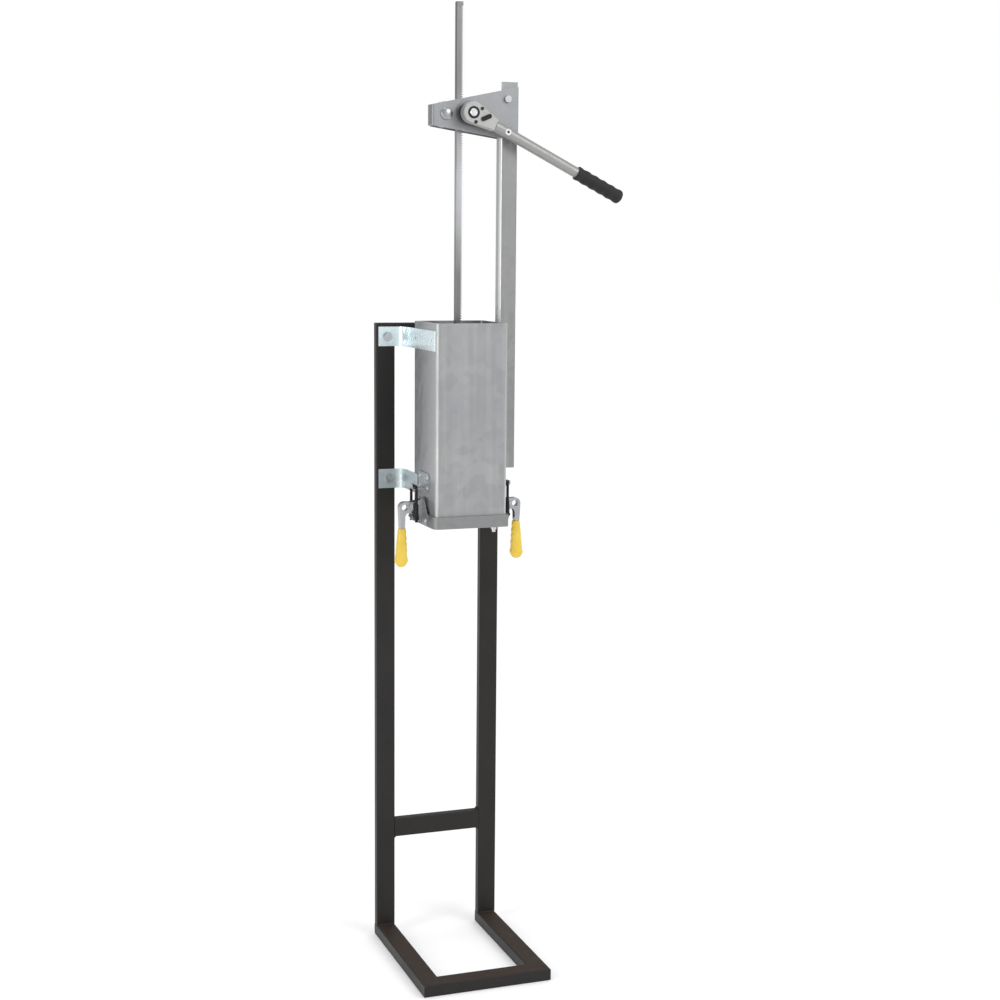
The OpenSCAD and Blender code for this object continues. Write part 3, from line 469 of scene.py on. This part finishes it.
def weld(name, a, b, r, out, seed=0):
    """A rippled fillet bead from a to b, drawn towards out."""
    a, b, out = Vector(a), Vector(b), Vector(out)
    length = (b - a).length
    n = max(12, int(length / 0.0007))
    pts, rad = [], []
    for i in range(n + 1):
        t = i / n
        s = t * length
        jit = noise.noise(Vector((s * 130, seed * 7.1, 0.3))) * 0.00035
        pts.append(a.lerp(b, t) + out * jit)
        end = min(1.0, min(t, 1 - t) * length / (r * 1.2) + 0.25)
        rad.append(r * (0.90 + 0.10 * abs(math.sin(s * math.pi / 0.0021))) * end)
    bm = bmesh.new()
    tube_along(bm, pts, lambda i: rad[i], 10, frame_up=out)
    return new_piece(name, bm, M["paint"], "stand_and_barrel")


def make_welds():
    y0, y1 = AY + 0.1405, AY + 0.1595
    k = 0
    for s, side in ((-1, "left"), (1, "right")):
        x = s * 0.0945
        for z, dz, nm in ((0.2195, -1, "cross_rail_under"), (0.2605, 1, "cross_rail_over"), (1.2795, -1, "top_rail_under")):
            weld(f"weld_{side}_{nm}", (x, y0, z), (x, y1, z), 0.0026, (-s, 0, dz), k)
            k += 1
        weld(f"weld_{side}_foot_front", (s * 0.0975, AY + 0.1395, 0.0253), (s * 0.1325, AY + 0.1395, 0.0253), 0.0030, (0, -1, 1), k)
        k += 1
        # mitred front corners, ground almost flush
        weld(f"weld_{side}_front_corner", (s * 0.1325, -0.0175, 0.0240), (s * 0.0975, 0.0175, 0.0240), 0.0014, (0, 0, 1), k)
        k += 1


def make_latch_grips():
    # width (x) and depth (y) at each height, and the middle's shift from the lever
    prof = [(0.9136, 0.0066, 0.0052), (0.9128, 0.0074, 0.0060), (0.9110, 0.0080, 0.0066), (0.9070, 0.0083, 0.0070), (0.9000, 0.0090, 0.0075),
            (0.8900, 0.0099, 0.0083), (0.8800, 0.0106, 0.0089), (0.8700, 0.0112, 0.0094), (0.8600, 0.0117, 0.0098), (0.8545, 0.0121, 0.0101),
            (0.8515, 0.0131, 0.0110), (0.8485, 0.0136, 0.0113), (0.8455, 0.0131, 0.0110), (0.8425, 0.0117, 0.0101), (0.8395, 0.0100, 0.0086),
            (0.8370, 0.0078, 0.0067), (0.8350, 0.0048, 0.0041), (0.8344, 0.0020, 0.0018)]

    def at(z):
        for (z0, a0, b0), (z1, a1, b1) in zip(prof, prof[1:]):
            if z <= z0 and z >= z1:
                t = (z0 - z) / (z0 - z1)
                return a0 + (a1 - a0) * t, b0 + (b1 - b0) * t
        return prof[-1][1:]

    zs = []
    for (z0, _, _), (z1, _, _) in zip(prof, prof[1:]):
        n = max(1, round((z0 - z1) / 0.0012))
        zs += [z0 + (z1 - z0) * i / n for i in range(n)]
    zs.append(prof[-1][0])
    for s, side in ((-1, "left"), (1, "right")):
        bm = bmesh.new()
        rings = []
        up = 0.006 if s > 0 else 0.0          # the right grip is pushed on a little further
        for z in zs:
            a, b = at(z)
            cx = 0.1225 + (0.9136 - z) / 0.08 * 0.0019
            wave = 0.00055 * math.cos((z - 0.906) / 0.0125 * 2 * math.pi) if 0.858 < z < 0.908 else 0.0
            ring = []
            for k in range(56):
                th = 2 * math.pi * k / 56
                c, sn = math.cos(th), math.sin(th)
                e = 2 / 2.5
                x = math.copysign(abs(c) ** e, c) * (a + (wave if c < 0 else wave * 0.25))
                y = math.copysign(abs(sn) ** e, sn) * b
                ring.append(Vector((s * (cx + x), AY + y, z + up)))
            rings.append(ring)
        loft(bm, rings)
        new_piece(f"{side}_yellow_grip", bm, M["vinyl"], f"{side}_latch_handle", (f"{side}_latch_grip",))


def make_threads():
    """Rolled thread on the lower ends of the hook bolts and above their sleeves."""
    for s, side in ((-1, "left"), (1, "right")):
        bm = bmesh.new()
        for y in (-0.0175, 0.0175):
            for z0, z1 in ((0.9272, 0.9313), (0.9632, 0.9760)):
                pitch, r0, r1 = 0.001, 0.00272, 0.00305
                turns = (z1 - z0) / pitch
                seg = int(turns * 20)
                prev = None
                for i in range(seg + 1):
                    th = 2 * math.pi * i / 20
                    z = z0 + (z1 - z0) * i / seg
                    d = Vector((math.cos(th), math.sin(th), 0))
                    c = Vector((s * 0.0975, AY + y, z))
                    row = [bm.verts.new(c + d * r0 + Vector((0, 0, -0.00042))), bm.verts.new(c + d * r1), bm.verts.new(c + d * r0 + Vector((0, 0, 0.00042))), bm.verts.new(c + d * (r0 - 0.0006))]
                    if prev:
                        for k in range(4):
                            bm.faces.new((prev[k], prev[(k + 1) % 4], row[(k + 1) % 4], row[k]))
                    else:
                        bm.faces.new(row)
                    prev = row
                bm.faces.new(prev[::-1])
        new_piece(f"{side}_hook_bolt_thread", bm, M["black"], f"{side}_hook_bolt", smooth=False)


def lever_point(u, y, v):
    """A point of the ratchet lever: u along it, y as in the part, v up across it."""
    c, sn = math.cos(TILT), math.sin(TILT)
    return Vector((AXIS.x + u * c + v * sn, AY + y, AXIS.z - u * sn + v * c))


def make_reversing_lever():
    """A rounded thumb lever with a dished pad, lying on the ratchet's cover."""
    bm = bmesh.new()
    a = math.radians(50)
    ca, sa = math.cos(a), math.sin(a)
    L, R = 0.0135, 0.0044
    rings = []
    for y, g in ((-0.0520, 0.0), (-0.0546, 0.0), (-0.0551, 0.00015), (-0.0554, 0.0006), (-0.0555, 0.0012), (-0.0553, 0.0022), (-0.0552, 0.0034)):
        ring = []
        for k in range(40):
            th = 2 * math.pi * k / 40 + math.pi / 2
            c, sn = math.cos(th), math.sin(th)
            rr = R - g
            x = (0.0 if c < 0 else L) + rr * c if k not in (0, 20) else (0.0 if k == 0 else 0.0) + rr * c
            if k < 20:
                x = rr * c
            else:
                x = L + rr * c
            z = rr * sn
            ring.append(lever_point(0.023 + x * ca - z * sa, y, -0.002 + x * sa + z * ca))
        rings.append(ring)
    loft(bm, rings)
    new_piece("reversing_thumb_lever", bm, M["black"], "reversing_switch", ("reversing_lever",), smooth=True)


make_welds()
make_latch_grips()
make_threads()
make_reversing_lever()


# ------------------------------------------------------------------ light and stage
def make_stage():
    me = bpy.data.meshes.new("floor")
    bm = bmesh.new()
    bmesh.ops.create_grid(bm, x_segments=1, y_segments=1, size=40)
    bm.to_mesh(me)
    bm.free()
    o = bpy.data.objects.new("floor", me)
    bpy.context.scene.collection.objects.link(o)
    m = Mat("pale_floor")
    # lit like paper round the foot, and bright paper further out
    q = m.node("ShaderNodeVectorMath")
    q.operation = "DISTANCE"
    m.link(m.co, q.inputs[0])
    q.inputs[1].default_value = (0.05, 0.10, 0.0)
    far = m.span(q.outputs["Value"], 0.20, 1.25, 0.0, 1.0)
    c = m.mix(far, (0.93, 0.93, 0.93), (0.05, 0.05, 0.05))
    m.link(c, m.p.inputs["Base Color"])
    m.set(Roughness=0.95)
    m.p.inputs["Specular IOR Level"].default_value = 0.0
    m.p.inputs["Emission Color"].default_value = (1, 1, 1, 1)
    m.link(m.span(far, 0.0, 1.0, 0.17, 1.0), m.p.inputs["Emission Strength"])
    me.materials.append(m.m)

    w = bpy.data.worlds.new("world")
    bpy.context.scene.world = w
    w.use_nodes = True
    t = w.node_tree
    t.nodes.clear()
    out = t.nodes.new("ShaderNodeOutputWorld")
    seen = t.nodes.new("ShaderNodeBackground")
    seen.inputs[0].default_value = (1, 1, 1, 1)
    seen.inputs[1].default_value = 1.0
    lit = t.nodes.new("ShaderNodeBackground")
    co = t.nodes.new("ShaderNodeTexCoord")
    sep = t.nodes.new("ShaderNodeSeparateXYZ")
    t.links.new(co.outputs["Generated"], sep.inputs[0])
    mr = t.nodes.new("ShaderNodeMapRange")
    mr.inputs["From Min"].default_value = -0.9
    mr.inputs["From Max"].default_value = 0.5
    mr.inputs["To Min"].default_value = 0.40
    mr.inputs["To Max"].default_value = 0.80
    t.links.new(sep.outputs[0], mr.inputs["Value"])
    t.links.new(mr.outputs[0], lit.inputs[1])
    lit.inputs[0].default_value = (0.995, 0.995, 1.0, 1)
    path = t.nodes.new("ShaderNodeLightPath")
    mx = t.nodes.new("ShaderNodeMixShader")
    t.links.new(path.outputs["Is Camera Ray"], mx.inputs[0])
    t.links.new(lit.outputs[0], mx.inputs[1])
    t.links.new(seen.outputs[0], mx.inputs[2])
    t.links.new(mx.outputs[0], out.inputs[0])

    def area(name, loc, aim, size, power, color=(1, 1, 1)):
        d = bpy.data.lights.new(name, "AREA")
        d.shape = "RECTANGLE"
        d.size, d.size_y = size
        d.energy = power
        d.color = color
        o = bpy.data.objects.new(name, d)
        o.location = loc
        o.rotation_euler = (Vector(aim) - Vector(loc)).to_track_quat("-Z", "Y").to_euler()
        bpy.context.scene.collection.objects.link(o)

    area("key", (2.2, -3.2, 3.4), (0, 0.1, 1.1), (2.4, 2.4), 60)
    area("top", (-0.5, 0.4, 4.6), (0, 0.2, 1.0), (3.0, 3.0), 40)
    area("fill", (-3.6, -1.6, 1.9), (0, 0.2, 1.1), (1.2, 2.6), 46)
    s = bpy.context.scene
    s.view_settings.view_transform = "Standard"
    s.view_settings.look = "None"
    s.view_settings.exposure = 0.0
    s.view_settings.gamma = 1.0


make_stage()
